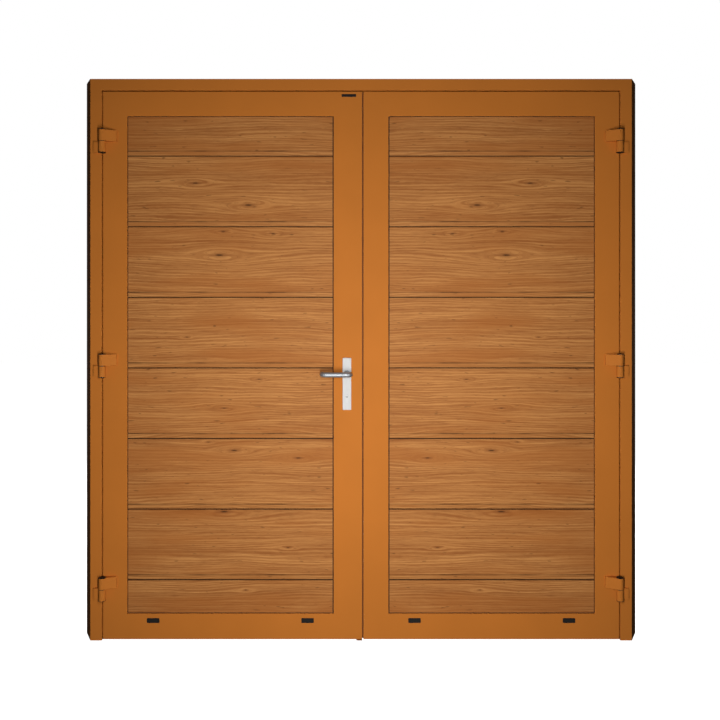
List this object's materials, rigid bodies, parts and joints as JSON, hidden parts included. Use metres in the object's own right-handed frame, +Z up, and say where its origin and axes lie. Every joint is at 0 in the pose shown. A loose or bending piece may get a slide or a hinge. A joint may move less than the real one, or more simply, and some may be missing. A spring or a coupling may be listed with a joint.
{
  "type": "double panel door with frame",
  "caption": "Outward-opening double door in a three-sided frame, with board-patterned panels, barrel hinges, a lever handle and a lock cylinder.",
  "frame": {"origin": "on the frame's flat back face, at the middle of the header's top edge", "axes": "+Z up, +X to the right seen from outside, -Y outwards, towards whoever faces the hinge and handle side"},
  "size_m": [2.25, 0.17, 2.25],
  "materials": {
    "frame_paint": "satin powder coat, orange brown",
    "side_paint": "satin powder coat, dark brown",
    "hinge_paint": "satin powder coat, orange brown",
    "wood_decor": "foil with a horizontal oak grain",
    "rubber": "matt",
    "black_plastic": "matt",
    "silver_plate": "fine satin",
    "satin_steel": "satin"
  },
  "bodies": {
    "frame": {"header": "frame_paint", "frame_stops": "frame_paint", "frame_gasket": "rubber", "left_jamb": "frame_paint", "left_fixing_profile": "side_paint", "left_hinge_bases": "hinge_paint", "left_hinge_pins": "black_plastic", "left_hinge_bottom_caps": "black_plastic", "right_jamb": "frame_paint", "right_fixing_profile": "side_paint", "right_hinge_bases": "hinge_paint", "right_hinge_pins": "black_plastic", "right_hinge_bottom_caps": "black_plastic"},
    "left_leaf": {"left_bottom_rail": "frame_paint", "left_drain_covers": "black_plastic", "left_glazing_beads": "frame_paint", "left_hinge_leaves": "hinge_paint", "left_hinge_stile": "frame_paint", "left_hinge_top_caps": "black_plastic", "left_meeting_stile": "frame_paint", "left_panel_1": "wood_decor", "left_panel_2": "wood_decor", "left_panel_3": "wood_decor", "left_panel_4": "wood_decor", "left_panel_gasket": "rubber", "left_top_rail": "frame_paint", "outer_handle_plate": "silver_plate", "inner_handle_plate": "silver_plate", "lock_cylinder": "satin_steel", "lock_faceplate": "satin_steel", "meeting_seal": "rubber", "meeting_foot": "rubber"},
    "right_leaf": {"right_bottom_rail": "frame_paint", "right_drain_covers": "black_plastic", "right_glazing_beads": "frame_paint", "right_hinge_leaves": "hinge_paint", "right_hinge_stile": "frame_paint", "right_hinge_top_caps": "black_plastic", "right_meeting_stile": "frame_paint", "right_panel_1": "wood_decor", "right_panel_2": "wood_decor", "right_panel_3": "wood_decor", "right_panel_4": "wood_decor", "right_panel_gasket": "rubber", "right_top_rail": "frame_paint", "lock_strike": "satin_steel"},
    "lever": {"outer_lever": "satin_steel", "inner_lever": "satin_steel", "lever_spindle": "satin_steel"}
  },
  "joints": [
    {"name": "left_leaf_swing", "type": "hinge", "parent": "frame", "child": "left_leaf", "pos_m": [-1.03, -0.09, -1.148], "axis": [0, 0, -1], "range_deg": [0, 110]},
    {"name": "right_leaf_swing", "type": "hinge", "parent": "frame", "child": "right_leaf", "pos_m": [1.03, -0.09, -1.148], "axis": [0, 0, 1], "range_deg": [0, 110]},
    {"name": "lever_turn", "type": "hinge", "parent": "left_leaf", "child": "lever", "pos_m": [-0.0565, -0.045, -1.181], "axis": [0, -1, 0], "range_deg": [0, 40], "stiffness_Nm_per_rad": 0.8, "springref_deg": -34.38}
  ]
}
